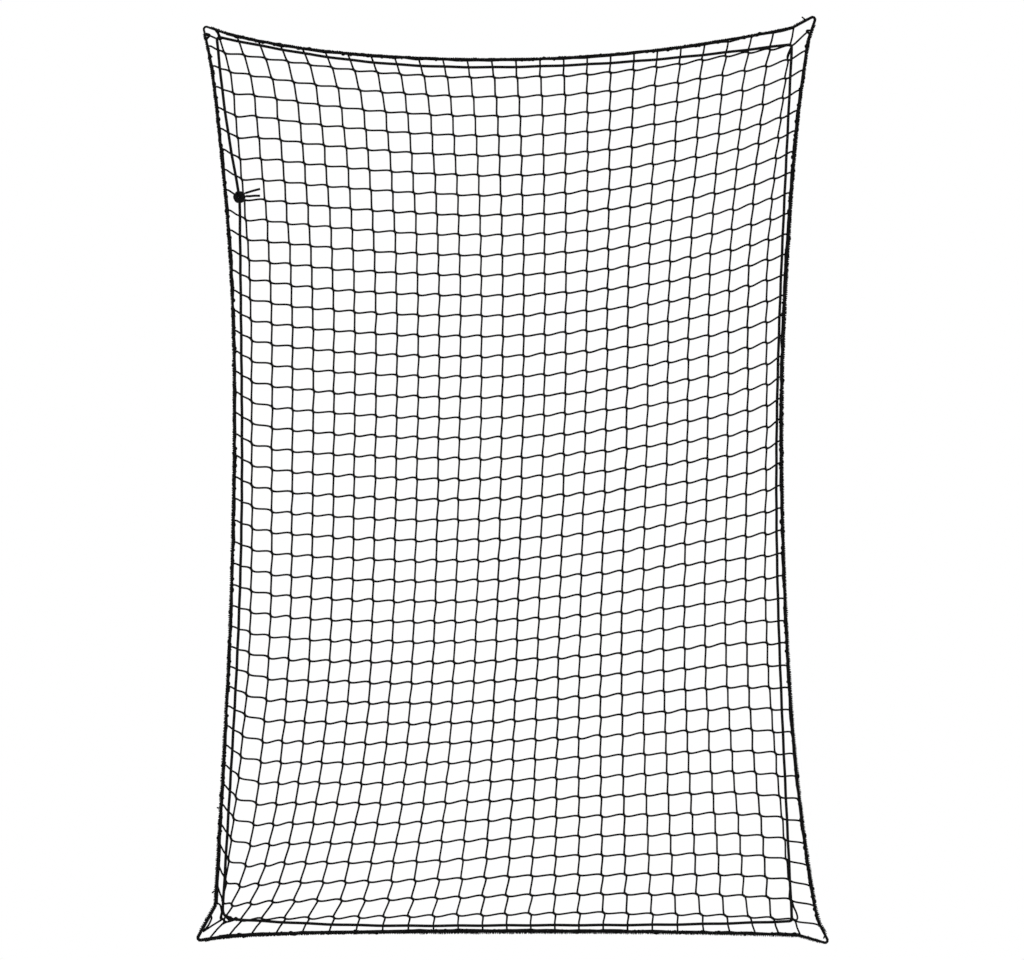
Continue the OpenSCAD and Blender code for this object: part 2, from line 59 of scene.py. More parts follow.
def add_camera():
    data = bpy.data.cameras.new("camera")
    data.sensor_width = SENSOR_WIDTH
    data.lens = SENSOR_WIDTH * CAMERA_AWAY / (IMAGE_WIDTH * MM_PER_PIXEL * MM)
    data.clip_end = 60
    camera = bpy.data.objects.new("camera", data)
    bpy.context.scene.collection.objects.link(camera)
    across = (CENTRE_PIXEL[0] - ORIGIN_PIXEL[0]) * MM_PER_PIXEL * MM
    up = (ORIGIN_PIXEL[1] - CENTRE_PIXEL[1]) * MM_PER_PIXEL * MM
    camera.location = (across, -CAMERA_AWAY, up)
    camera.rotation_euler = (math.radians(90), 0, 0)
    bpy.context.scene.camera = camera


add_camera()

# ---- sizes --------------------------------------------------------------------------

MESHES_WIDE = 27
MESHES_HIGH = 44
# Clearance between two cords that lie against each other
CLEAR = 0.3
TWINE_R = 2.12
ROPE_R = 2.8
LASHING_R = 1.1
CUT_END_R = 1.7
CORD_R = 3.15
KNOT_CORD_R = 2.65
TAIL_R = 2.55

# ---- the stretched sheet ------------------------------------------------------------

# The panel is drawn out like a clamped cubic spline sheet. It has 12 rows of 10 handles,
# from the top left, and its spans meet at these shares. They are short near the corners.
# The handles are rounded from a fit to the crossings that the photograph shows.
SPANS_ACROSS = (0, 0.037, 0.11, 0.3, 0.55, 0.8, 0.93, 1)
SPANS_DOWN = (0, 0.023, 0.09, 0.25, 0.45, 0.65, 0.84, 0.93, 0.977, 1)
HANDLES_ACROSS = (
    (-673, -673, -635, -508, -284, 55, 338, 552, 627, 650),
    (-672, -666, -632, -508, -274, 50, 340, 551, 626, 648),
    (-658, -645, -603, -477, -258, 56, 336, 529, 617, 641),
    (-639, -630, -587, -457, -235, 57, 332, 523, 599, 616),
    (-610, -600, -552, -434, -223, 65, 317, 489, 557, 595),
    (-605, -602, -559, -437, -226, 60, 318, 497, 576, 578),
    (-614, -593, -555, -438, -233, 48, 300, 481, 555, 590),
    (-630, -626, -580, -461, -248, 34, 313, 499, 593, 610),
    (-642, -653, -607, -501, -288, 38, 318, 530, 615, 644),
    (-648, -622, -661, -541, -288, 24, 327, 530, 626, 660),
    (-649, -604, -666, -583, -311, 31, 333, 567, 629, 677),
    (-686, -665, -693, -585, -297, 32, 324, 566, 640, 679),
)
HANDLES_UP = (
    (984, 985, 973, 943, 917, 910, 934, 972, 988, 1002),
    (971, 950, 956, 942, 906, 899, 923, 969, 953, 1003),
    (916, 917, 906, 880, 853, 843, 874, 908, 939, 950),
    (747, 712, 732, 721, 698, 685, 720, 753, 781, 792),
    (472, 463, 455, 434, 421, 418, 445, 480, 503, 504),
    (115, 107, 77, 69, 50, 54, 86, 107, 132, 151),
    (-310, -305, -315, -327, -332, -328, -304, -283, -279, -288),
    (-598, -600, -642, -638, -647, -634, -622, -612, -626, -622),
    (-809, -822, -861, -846, -853, -831, -831, -829, -846, -861),
    (-918, -930, -966, -941, -947, -927, -932, -934, -945, -957),
    (-939, -989, -975, -983, -975, -975, -971, -988, -988, -1002),
    (-1003, -1002, -1003, -990, -985, -984, -985, -991, -993, -1003),
)
HANDLES = np.stack([HANDLES_ACROSS, HANDLES_UP], -1).astype(float)
# How unevenly the crossings inside the panel lie
CROSSING_SCATTER = 0.45


def spline_weights(shares, spans):
    """How much each of the clamped cubic spline's handles counts at each share."""
    knots = np.concatenate([np.zeros(3), spans, np.ones(3)])
    t = np.clip(np.asarray(shares, float), 0, 1 - 1e-9)
    weights = np.array([(low <= t) & (t < high) for low, high in zip(knots, knots[1:])], float)
    for degree in (1, 2, 3):
        raised = []
        for i in range(len(knots) - 1 - degree):
            left = knots[i + degree] - knots[i]
            right = knots[i + degree + 1] - knots[i + 1]
            value = np.zeros_like(t)
            if left > 0:
                value += (t - knots[i]) / left * weights[i]
            if right > 0:
                value += (knots[i + degree + 1] - t) / right * weights[i + 1]
            raised.append(value)
        weights = np.array(raised)
    return weights.T


def sheet(across, down):
    """The places at a grid of shares across and down the panel: [across, down, (x, z)]."""
    a = spline_weights(across, SPANS_ACROSS)
    d = spline_weights(down, SPANS_DOWN)
    return np.einsum("ia,jb,bac->ijc", a, d, HANDLES)


def edge(side, shares):
    """Places along an edge: left to right, or top to bottom."""
    shares = np.atleast_1d(shares)
    if side in ("top", "bottom"):
        return sheet(shares, [0.0 if side == "top" else 1.0])[:, 0]
    return sheet([0.0 if side == "left" else 1.0], shares)[0]


def crossings():
    """Where rows and columns meet: [column, row, (x, z)]."""
    grid = sheet(np.linspace(0, 1, MESHES_WIDE + 1), np.linspace(0, 1, MESHES_HIGH + 1))
    grid[1:-1, 1:-1] += rng.normal(0, CROSSING_SCATTER, (MESHES_WIDE - 1, MESHES_HIGH - 1, 2))
    # The bottom left is drawn out so far that the first column ends on the loop's left leg
    grid[1, -1] = (-677, -986)
    return grid


GRID = crossings()

# ---- swept tubes --------------------------------------------------------------------

# A rounded end's rings, as angles from the tube's last ring to the dome's top
DOME_ANGLES = (0.5, 1.0, 1.35)
# The lower this power, the sharper the grooves between a rope's lobes
LOBE_POWER = 0.8


def unit(v):
    return v / np.linalg.norm(v, axis=-1, keepdims=True)


def steps_along(points):
    """How far it is from each of a line's points to the next."""
    return np.linalg.norm(np.diff(points, axis=0), axis=1)


def run_along(points):
    """How far along a line each of its points is."""
    return np.concatenate([[0], np.cumsum(steps_along(points))])


def smooth_through(points, step):
    """A round curve through points, with a point about every step."""
    p = np.asarray(points, float)
    p = np.vstack([2 * p[0] - p[1], p, 2 * p[-1] - p[-2]])
    out = []
    for a, b, c, d in zip(p[:-3], p[1:-2], p[2:-1], p[3:]):
        n = max(1, int(np.ceil(np.linalg.norm(c - b) / step)))
        t = (np.arange(n) / n)[:, None]
        out.append(0.5 * (2 * b + (c - a) * t + (2 * a - 5 * b + 4 * c - d) * t ** 2
                          + (3 * b - a - 3 * c + d) * t ** 3))
    out.append(p[-2][None])
    return np.vstack(out)


def spaced(points, step):
    """The same line with its points evenly spaced."""
    p = np.asarray(points, float)
    run = run_along(p)
    n = max(2, int(round(run[-1] / step)) + 1)
    at = np.linspace(0, run[-1], n)
    return np.stack([np.interp(at, run, p[:, k]) for k in range(p.shape[1])], 1)


def in_plane(points, y):
    """(across, up) places as points in space, at a depth."""
    p = np.asarray(points, float)
    return np.stack([p[..., 0], np.broadcast_to(y, p.shape[:-1]), p[..., 1]], -1)


def way_along(path):
    """The way that a path runs at each of its points."""
    return unit(np.gradient(path, axis=0))


def ways_across(path):
    """Two ways square to a path at each of its points, carried along it without a twist."""
    way = way_along(path)
    side = np.empty_like(path)
    carried = np.array((0, 1.0, 0))
    for n, w in enumerate(way):
        carried = carried - w * (carried @ w)
        carried /= np.linalg.norm(carried)
        side[n] = carried
    return side, np.cross(way, side)


def with_domes(path, radius):
    """Adds small rings so that both ends close in a dome."""
    for end, beside in ((0, 1), (-1, -2)):
        away = unit(path[end] - path[beside])
        extra = np.array([path[end] + away * (radius[end] * math.sin(a)) for a in DOME_ANGLES])
        rims = np.array([radius[end] * math.cos(a) for a in DOME_ANGLES])
        if end == 0:
            path, radius = np.vstack([extra[::-1], path]), np.concatenate([rims[::-1], radius])
        else:
            path, radius = np.vstack([path, extra]), np.concatenate([radius, rims])
    return path, radius


class Bundle:
    """Gathers swept tubes into one mesh piece."""

    def __init__(self):
        self.points, self.faces, self.uv, self.count = [], [], [], 0

    def add(self, points, faces, uv):
        self.points.append(points)
        self.faces.append(faces)
        self.uv.append(uv)
        self.count += len(points)

    def add_wall(self, rings, run):
        """Quads between rings. Their UVs go once round the tube, and along it in metres."""
        n, sides = rings.shape[:2]
        row = self.count + np.arange(n - 1)[:, None] * sides
        a = row + np.arange(sides)
        b = row + (np.arange(sides) + 1) % sides
        quads = np.stack([a, b, b + sides, a + sides], -1).reshape(-1, 4)
        u0 = np.broadcast_to(np.arange(sides) / sides, a.shape)
        u1 = u0 + 1 / sides
        v0 = np.broadcast_to(run[:-1, None] * MM, a.shape)
        v1 = np.broadcast_to(run[1:, None] * MM, a.shape)
        uv = np.stack([u0, v0, u1, v0, u1, v1, u0, v1], -1).reshape(-1, 2)
        self.add(rings.reshape(-1, 3), quads, uv)

    def add_cap(self, ring, centre, flip):
        """Triangles from a ring, given as point numbers, to its centre."""
        hub = np.full(len(ring), self.count)
        beside = np.roll(ring, -1)
        corners = [hub, beside, ring] if flip else [hub, ring, beside]
        self.add(centre[None], np.stack(corners, -1), np.zeros((len(ring) * 3, 2)))

    def tube(self, path, radius, sides=8, round_ends=False, lobes=0, lobe_depth=0.0, lay=0.0):
        """A tube along path. Its lobes turn once per lay, as a rope's strands do."""
        path = np.asarray(path, float)
        radius = np.broadcast_to(np.asarray(radius, float), (len(path),))
        if round_ends:
            path, radius = with_domes(path, radius)
        side, other = ways_across(path)
        run = run_along(path)
        angle = np.arange(sides) * 2 * np.pi / sides
        turn = 2 * np.pi * run / lay if lay else np.zeros(len(path))
        turned = angle[None] + turn[:, None]
        ring = np.cos(turned)[..., None] * side[:, None]
        ring = ring + np.sin(turned)[..., None] * other[:, None]
        reach = radius[:, None] * np.ones(sides)
        if lobes:
            bulge = np.abs(np.cos(angle * lobes / 2)) ** LOBE_POWER
            reach = reach * (1 - lobe_depth * (1 - bulge))[None]
        first = self.count + np.arange(sides)
        self.add_wall(path[:, None] + ring * reach[..., None], run)
        self.add_cap(first, path[0], flip=True)
        self.add_cap(first + (len(path) - 1) * sides, path[-1], flip=False)

    def make(self, name, material, slot, *nodes):
        """Makes the piece, on the net's one body, in place of any nodes that are named."""
        mesh = bpy.data.meshes.new(name)
        points = np.vstack(self.points) * MM
        mesh.vertices.add(len(points))
        mesh.vertices.foreach_set("co", points.astype(np.float32).ravel())
        loops = np.concatenate([f.ravel() for f in self.faces])
        sizes = np.concatenate([np.full(len(f), f.shape[1]) for f in self.faces])
        starts = np.concatenate([[0], np.cumsum(sizes)[:-1]])
        mesh.loops.add(len(loops))
        mesh.loops.foreach_set("vertex_index", loops.astype(np.int32))
        mesh.polygons.add(len(sizes))
        mesh.polygons.foreach_set("loop_start", starts.astype(np.int32))
        mesh.polygons.foreach_set("use_smooth", np.ones(len(sizes), bool))
        layer = mesh.uv_layers.new(name="UVMap")
        layer.data.foreach_set("uv", np.vstack(self.uv).astype(np.float32).ravel())
        mesh.update(calc_edges=True)
        mesh.validate()
        mesh.materials.append(material)
        piece = bpy.data.objects.new(name, mesh)
        bpy.context.scene.collection.objects.link(piece)
        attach(piece, "root")
        if nodes:
            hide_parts(*nodes)
        return piece


# ---- materials ----------------------------------------------------------------------

# How far a fibre's colour swings either way, as a share of its colour. The swing carries painted
# shade in the grooves between plies and painted light on their crowns, besides random tone
GROOVE_SHADE_AND_TONE_SWING = 0.7
# Single hairs, and patches of wear, as noise scales per metre
HAIR_SCALE = 900.0
PATCH_SCALE = 26.0
# The plies' share of the surface's height, next to the hairs, and the height's share of
# the colour, next to the patches. Through the height the grooves between plies get painted shade
# and the crowns painted light
PLY_SHARE = 0.75
GROOVE_SHADE_AND_HAIR_SHARE = 0.7
BUMP_DISTANCE = 0.0004
SPECULAR = 0.06
SHEEN = 0.01
SHEEN_ROUGHNESS = 0.6


def fibre(name, colour, plies, lay, bump, roughness, braided=False):
    """Dark fibre. Its plies cross the tube's UVs on a slant, and in a braid both ways. Its colour
    has painted shade in the grooves between plies and painted light on their crowns.
    """
    mat = bpy.data.materials.new(name)
    mat.use_nodes = True
    nodes, links = mat.node_tree.nodes, mat.node_tree.links
    shader = nodes["Principled BSDF"]
    place = nodes.new("ShaderNodeTexCoord")

    def maths(kind, a, b=0.0):
        node = nodes.new("ShaderNodeMath")
        node.operation = kind
        for socket, value in zip(node.inputs, (a, b)):
            if isinstance(value, (int, float)):
                socket.default_value = value
            else:
                links.new(value, socket)
        return node.outputs[0]

    def shared(a, b, share):
        return maths("ADD", maths("MULTIPLY", a, share), maths("MULTIPLY", b, 1 - share))

    def noise(scale, detail):
        node = nodes.new("ShaderNodeTexNoise")
        node.inputs["Scale"].default_value = scale
        node.inputs["Detail"].default_value = detail
        links.new(place.outputs["Object"], node.inputs["Vector"])
        return node.outputs["Fac"]

    uv = nodes.new("ShaderNodeUVMap")
    uv.uv_map = "UVMap"
    parts = nodes.new("ShaderNodeSeparateXYZ")
    links.new(uv.outputs["UV"], parts.inputs[0])
    around = maths("MULTIPLY", parts.outputs["X"], 2 * math.pi * plies)
    along = maths("MULTIPLY", parts.outputs["Y"], 2 * math.pi * plies / lay)

    def slant(kind):
        return maths("ABSOLUTE", maths("SINE", maths("MULTIPLY", maths(kind, around, along), 0.5)))

    ply = slant("ADD")
    if braided:
        ply = maths("MULTIPLY", ply, slant("SUBTRACT"))
    height = shared(ply, noise(HAIR_SCALE, 3.0), PLY_SHARE)
    # The colour follows the height: painted shade in the grooves between plies, painted light on
    # their crowns, random tone from the hairs, and patches of wear
    ramp = nodes.new("ShaderNodeValToRGB")
    ramp.color_ramp.elements[0].color = (*[c * (1 - GROOVE_SHADE_AND_TONE_SWING) for c in colour], 1)
    ramp.color_ramp.elements[1].color = (*[c * (1 + GROOVE_SHADE_AND_TONE_SWING) for c in colour], 1)
    links.new(shared(height, noise(PATCH_SCALE, 2.0), GROOVE_SHADE_AND_HAIR_SHARE), ramp.inputs["Fac"])
    links.new(ramp.outputs["Color"], shader.inputs["Base Color"])
    shader.inputs["Roughness"].default_value = roughness
    shader.inputs["Specular IOR Level"].default_value = SPECULAR
    shader.inputs["Sheen Weight"].default_value = SHEEN
    shader.inputs["Sheen Roughness"].default_value = SHEEN_ROUGHNESS
    relief = nodes.new("ShaderNodeBump")
    relief.inputs["Strength"].default_value = bump
    relief.inputs["Distance"].default_value = BUMP_DISTANCE
    links.new(height, relief.inputs["Height"])
    links.new(relief.outputs["Normal"], shader.inputs["Normal"])
    return mat


twine = fibre("twine_black", (0.004, 0.0039, 0.0039), plies=2, lay=0.009, bump=0.9, roughness=0.72)
rope = fibre("rope_black", (0.0038, 0.0038, 0.004), plies=9, lay=0.030, bump=0.8, roughness=0.66)
lashing_twine = fibre("lashing_black", (0.0035, 0.0035, 0.0035), plies=2, lay=0.006, bump=0.8,
                      roughness=0.7)
cord_braid = fibre("cord_black", (0.0032, 0.0032, 0.0034), plies=8, lay=0.016, bump=0.7,
                   roughness=0.58, braided=True)

# ---- netting ------------------------------------------------------------------------

# A twine's form from a joint to halfway to the next: how far aside of the straight line it
# lies, at shares of the way. The other half is the same turned round. A row's twine leaves
# a joint low and comes to the next one high, and a column's leaves right of it.
SHARES = np.array((0, 0.03, 0.06, 0.1, 0.16, 0.24, 0.36, 0.5))
ROW_SAG = np.array((0, 0.5, 0.75, 0.92, 1.05, 1.0, 0.6, 0))
COLUMN_SAG = np.array((0, 0.55, 0.85, 1.0, 0.9, 0.75, 0.42, 0))
# The form's size, from the panel's left to right, at its top, middle and bottom, and the
# least and most that chance multiplies it by
ROW_SLACK = np.array(((1.3, 1.3, 1.8), (2.4, 2.3, 2.4), (2.6, 1.9, 1.8)))
COLUMN_SLACK = np.array(((0.7, 1.1, 1.3), (0.7, 0.9, 0.8), (1.0, 1.5, 1.3)))
SLACK_SPREAD = (0.75, 1.25)
# The columns are slacker by this factor in their lowest meshes
LOOSE_MESHES = 3
LOOSE_SLACK = 1.8
# How far a row rises as it leaves the left border, and at what share of its first mesh
FIRST_RISE = 4.4
RISE_AT = 0.2
# At a joint the row is in front of the sheet by this depth and the column behind it, and
# both are thicker by the swell, a share. The reach is how far to either side that fades.
JOINT_DEPTH = 0.7
JOINT_SWELL = 0.45
JOINT_REACH = 3.2
# How far a twine wanders in depth between two joints
DEPTH_WANDER = 0.3
TWINE_R_SPREAD = 0.02
# The pieces that the rows make, and the columns
SECTIONS = 3
DOWN, UP, RIGHT = np.array((0, -1.0)), np.array((0, 1.0)), np.array((1.0, 0))


def slack(table, i, j):
    """The table's value at a crossing, between its nearest places."""
    across, down = 2 * i / MESHES_WIDE, 2 * j / MESHES_HIGH
    a, d = min(int(across), 1), min(int(down), 1)
    (top_left, top_right), (low_left, low_right) = table[d:d + 2, a:a + 2]
    s, t = across - a, down - d
    return (top_left * (1 - s) + top_right * s) * (1 - t) + (low_left * (1 - s) + low_right * s) * t


def strand(places, column):
    """A row's or column's twine: its path, and how near a joint each point is, 0 to 1."""
    sag, table = (COLUMN_SAG, COLUMN_SLACK) if column else (ROW_SAG, ROW_SLACK)
    aside, depth_way = (RIGHT, 1) if column else (DOWN, -1)
    share = np.concatenate([SHARES, 1 - SHARES[-2::-1]])
    swing = np.concatenate([sag, -sag[-2::-1]])
    path, joints = [], []
    for k, (near, far) in enumerate(zip(places, places[1:])):
        start, stop = GRID[near], GRID[far]
        meshes_left = len(places) - 2 - k
        size = slack(table, *near) * rng.uniform(*SLACK_SPREAD)
        if column and meshes_left < LOOSE_MESHES:
            size *= LOOSE_SLACK
        bend = swing * size
        span = np.linalg.norm(stop - start)
        near_start = np.exp(-share * span / JOINT_REACH)
        near_stop = np.exp(-(1 - share) * span / JOINT_REACH)
        if k == 0:
            bend = np.where(share < 0.5, 0, bend)
            near_start[:] = 0
        if meshes_left == 0:
            near_stop[:] = 0
            if column:
                bend = np.where(share > 0.5, 0, bend)
        flat = start + share[:, None] * (stop - start) + bend[:, None] * aside
        if k == 0 and not column:
            rise = FIRST_RISE * share / RISE_AT * np.exp(1 - share / RISE_AT) * (1 - share)
            flat = flat + rise[:, None] * UP
        joint = np.maximum(near_start, near_stop)
        wander = rng.normal(0, DEPTH_WANDER) * np.sin(np.pi * share)
        depth = depth_way * JOINT_DEPTH * joint + wander
        keep = slice(None) if meshes_left == 0 else slice(-1)
        path.append(in_plane(flat, depth)[keep])
        joints.append(joint[keep])
    return np.vstack(path), np.concatenate(joints)


def crossings_of(line, column):
    """The crossings of an inner column or row."""
    if column:
        return [(line, j) for j in range(MESHES_HIGH + 1)]
    # The lowest row starts at the first column, because the corner beside it is drawn out
    first = 1 if line == MESHES_HIGH - 1 else 0
    return [(i, line) for i in range(first, MESHES_WIDE + 1)]


def netting(name, lines, column, *nodes):
    """The inner rows or columns, in sections. The first section stands for the nodes."""
    for section in range(SECTIONS):
        stands_for = nodes if section == 0 else ()
        bundle = Bundle()
        for line in range(1, lines):
            if (line - 1) * SECTIONS // (lines - 1) != section:
                continue
            path, joint = strand(crossings_of(line, column), column)
            radius = TWINE_R * rng.normal(1, TWINE_R_SPREAD) * (1 + JOINT_SWELL * joint)
            bundle.tube(path, radius, sides=7)
        bundle.make(f"netting_{name}_{section + 1}", twine, "twine", *stands_for)


netting("rows", MESHES_HIGH, False, "netting")
netting("columns", MESHES_WIDE, True)

# ---- border rope --------------------------------------------------------------------

SIDES = ("top", "right", "bottom", "left")
# Tips of the four bare loops, at the rope's middle
TIPS = {
    "top_left": (-673, 985), "top_right": (655, 1006),
    "bottom_right": (683, -1007), "bottom_left": (-686, -1002),
}
# A loop's two legs: the side, its end, where 0 is left or top and 1 is right or bottom, and
# how far from the tip the rope is bare
LEGS = {
    "top_left": (("top", 0, 48), ("left", 0, 46)),
    "top_right": (("top", 1, 50), ("right", 0, 50)),
    "bottom_right": (("right", 1, 46), ("bottom", 1, 60)),
    "bottom_left": (("bottom", 0, 44), ("left", 1, 84)),
}
LOOP_BEND_R = 5.5
# The loops' rope, which is thinner or thicker than the bound rope
LOOP_R = {"top_left": 2.7, "top_right": 3.4, "bottom_right": 3.3, "bottom_left": 3.9}
# The rope lies in front of the netting. Its three strands turn once per lay.
ROPE_Y = -(ROPE_R + TWINE_R + CLEAR)
ROPE_LAY = 13.0
ROPE_GROOVE = 0.16
ROPE_STEP = 1.3
LINE_STEP = 4
EDGE_POINTS = 1500
BEND_POINTS = 14
# The loops' bare legs end before these shares of an edge, and how finely that is looked up
BARE_BEFORE = {0: 0.2, 1: 0.8}
BARE_POINTS = 401
# How far the bound bundle lies outside its edge, and the share of it that the rope follows
BUNDLE_OUT = {"top": 1.4, "right": 1.8, "bottom": 1.1, "left": 2.0}
ROPE_OUT = 0.6
# After how many points of its line the bound rope's drift turns, and the drift's size
ROPE_DRIFT = (9, 0.35)


def share_at(side, end, distance, tip):
    """The share of an edge at which it has come a distance from a tip."""
    t = np.linspace(end, BARE_BEFORE[end], BARE_POINTS)
    away = np.linalg.norm(edge(side, t) - tip, axis=1)
    return float(t[np.argmax(away >= distance)])


# The shares of each side between which it is bound
BOUND = {
    (side, end): share_at(side, end, bare, np.array(TIPS[corner], float))
    for corner, legs in LEGS.items() for side, end, bare in legs
}


def loop_path(corner):
    """From one side's bound rope, round the tip, to the next side's."""
    tip = np.array(TIPS[corner], float)
    ends = [edge(side, BOUND[side, end])[0] for side, end, _ in LEGS[corner]]
    out = unit(tip - (ends[0] + ends[1]) / 2)
    centre = tip - LOOP_BEND_R * out
    outward = math.atan2(out[1], out[0])
    angles = []
    for to in (ends[0] - centre, ends[1] - centre):
        turn = (math.atan2(to[1], to[0]) - outward + math.pi) % (2 * math.pi) - math.pi
        touch = math.acos(LOOP_BEND_R / np.linalg.norm(to))
        angles.append(outward + math.copysign(abs(turn) - touch, turn))
    bend = [centre + LOOP_BEND_R * np.array((math.cos(a), math.sin(a)))
            for a in np.linspace(angles[0], angles[1], BEND_POINTS)]
    return np.vstack([ends[0], bend, ends[1]])


LOOPS = {corner: loop_path(corner) for corner in TIPS}


def bound_line(side, step):
    """Evenly spaced places along the bound part of an edge."""
    shares = np.linspace(BOUND[side, 0], BOUND[side, 1], EDGE_POINTS)
    return spaced(edge(side, shares), step)


def way_inward(side, places):
    """The way into the net at each place of a side's line."""
    along = way_along(places)
    inward = np.stack([along[:, 1], -along[:, 0]], 1)
    return -inward if side in ("bottom", "left") else inward


def wobble(n, apart, size):
    """Random drift along a line of n points, which turns about every so many points."""
    turns = rng.normal(0, size, max(4, int(n / apart) + 3))
    return np.interp(np.linspace(0, len(turns) - 1, n), np.arange(len(turns)), turns)


def rope_piece(name, path, node, radius=ROPE_R):
    bundle = Bundle()
    path = spaced(in_plane(path, ROPE_Y), ROPE_STEP)
    bundle.tube(path, radius, sides=12, lobes=3, lobe_depth=ROPE_GROOVE, lay=ROPE_LAY)
    bundle.make(name, rope, "rope", node)


def border_rope():
    for side in SIDES:
        places = bound_line(side, LINE_STEP)
        inward = way_inward(side, places)
        drift = wobble(len(places), *ROPE_DRIFT)[:, None] - ROPE_OUT * BUNDLE_OUT[side]
        rope_piece(f"rope_{side}", places + drift * inward, f"border_rope_{side}")
    for corner, path in LOOPS.items():
        rope_piece(f"loop_{corner}", path, f"corner_loop_{corner}", LOOP_R[corner])


border_rope()

# ---- selvedge and lashing -----------------------------------------------------------

# How far the selvedge lies inside the rope's middle, and behind the sheet
SELVEDGE_IN = {"top": 2.1, "right": 2.6, "bottom": 2.6, "left": 2.2}
SELVEDGE_Y = 0.6
# Its drift in the plane and in depth, as for the rope, and the share of the change in the
# lashing's half width that it follows
SELVEDGE_DRIFT, SELVEDGE_DEPTH_DRIFT = (6, 0.6), (7, 0.5)
WIDTH_FOLLOWED = 0.8
# Half the turns' width, at six places along each side
LASHING_HALF = {
    "top": (1.9, 1.8, 1.85, 1.9, 1.8, 2.0), "right": (2.6, 3.4, 3.1, 2.7, 3.2, 3.2),
    "bottom": (3.2, 2.8, 4.1, 4.1, 3.3, 3.2), "left": (2.0, 2.8, 2.2, 2.4, 2.5, 2.9),
}
LASHING_PITCH = 3.3
PITCH_SPREAD = (0.6, 1.5)
LASHING_STEP = 0.5
# How far the middle of the turns lies behind the rope's
LASHING_BACK = 0.8
# The lashing stops short of the loops' bends
LASHING_SHORT = 9
TURN_POINTS = 10
# The shares of turns with a large lump and with any, the least and most that each makes the
# turns wider and pushes them inward, and the share of it that is left from turn to turn
LARGE_LUMPS = 0.05
LARGE_SWELL, LARGE_PUSH = (1.4, 2.6), (1.6, 3.4)
ALL_LUMPS = 0.25
SMALL_SWELL, SMALL_PUSH = (0.6, 1.6), (-0.4, 1.4)
LUMP_KEPT = 0.5
# How unevenly wide the turns are, the share of their swell that counts in depth, and over how
# many points swell and push are evened out
SWELL_SCATTER = 0.4
SWELL_IN_DEPTH = 0.5
EVENED_OVER = 7
# The least length that is left for a turn at the line's end
TURN_ROOM = 4
STRAND_ENDS = {
    "top": GRID[1:-1, 0], "right": GRID[-1, 1:-1],
    "bottom": GRID[1:-1, -1], "left": GRID[0, 1:-1],
}
# How far each netting strand pulls the bound edge inward where it ends, the most that
# counts, and how far to either side that reaches
PULLS = {side: rng.gamma(1.6, 0.5, len(STRAND_ENDS[side])) for side in SIDES}
MOST_PULL = 2.4
PULL_REACH = 6.5
# The shares of that pull that move the selvedge, shift the turns and widen them
SELVEDGE_PULLED, TURNS_SHIFTED, TURNS_WIDENED = 0.5, 0.45, 0.35
# Hitches: the share of them on the inner side, how far they stray from the selvedge's usual
# place there and from the turns outside, their lengths, depths before or behind the rope's
# middle and radii, and the spaces between them
INNER_HITCHES = 0.8
INNER_STRAY, OUTER_STRAY = (-0.4, 2.0), (-0.5, 0.4)
HITCH_LENGTH, HITCH_DEPTH, HITCH_R = (3, 10), (-2, 3), (1.2, 2.2)
HITCH_LEAST_GAP, HITCH_MEAN_GAP = 5, 13
# Where a side's first one lies, the least room for its last, how unevenly deep they are, and
# the share of its way out from the rope's middle that a hitch's ends fall back
HITCH_FIRST, HITCH_ROOM = (4, 20), 8
HITCH_DEPTH_SCATTER = 0.5
HITCH_FALL = 0.5


def half_along(side, n):
    """The lashing's half width at n even places along a side."""
    return np.interp(np.linspace(0, 1, n), np.linspace(1 / 12, 11 / 12, 6), LASHING_HALF[side])


def pulled_in(side, places):
    """How far the strands that end on a side pull each of its places inward."""
    away = np.linalg.norm(places[:, None] - STRAND_ENDS[side][None], axis=2)
    return (np.exp(-(away / PULL_REACH) ** 2) * np.minimum(PULLS[side], MOST_PULL)).sum(1)


def selvedge():
    """The twine that ends the netting, beside the rope. It follows the border's width."""
    bundle = Bundle()
    for side in SIDES:
        places = bound_line(side, LINE_STEP)
        inward = way_inward(side, places)
        n = len(places)
        half = half_along(side, n)
        inset = SELVEDGE_IN[side] - ROPE_OUT * BUNDLE_OUT[side]
        inset = inset + WIDTH_FOLLOWED * (half - half.mean())
        inset = inset + SELVEDGE_PULLED * pulled_in(side, places) + wobble(n, *SELVEDGE_DRIFT)
        depth = SELVEDGE_Y + wobble(n, *SELVEDGE_DEPTH_DRIFT)
        bundle.tube(in_plane(places + inset[:, None] * inward, depth), TWINE_R, sides=7)
    bundle.make("netting_selvedge", twine, "twine")


def lashed_line(side, step):
    """A side's bound rope and its bare legs, to a little short of the loops' bends."""
    bends = []
    for end in (0, 1):
        corner = next(c for c, legs in LEGS.items() if (side, end) in [leg[:2] for leg in legs])
        path = LOOPS[corner]
        bends.append(path[1] if LEGS[corner][0][:2] == (side, end) else path[-2])
    line = spaced(np.vstack([bends[0], bound_line(side, LINE_STEP), bends[1]]), step)
    trim = int(LASHING_SHORT / step)
    return line[trim:-trim]


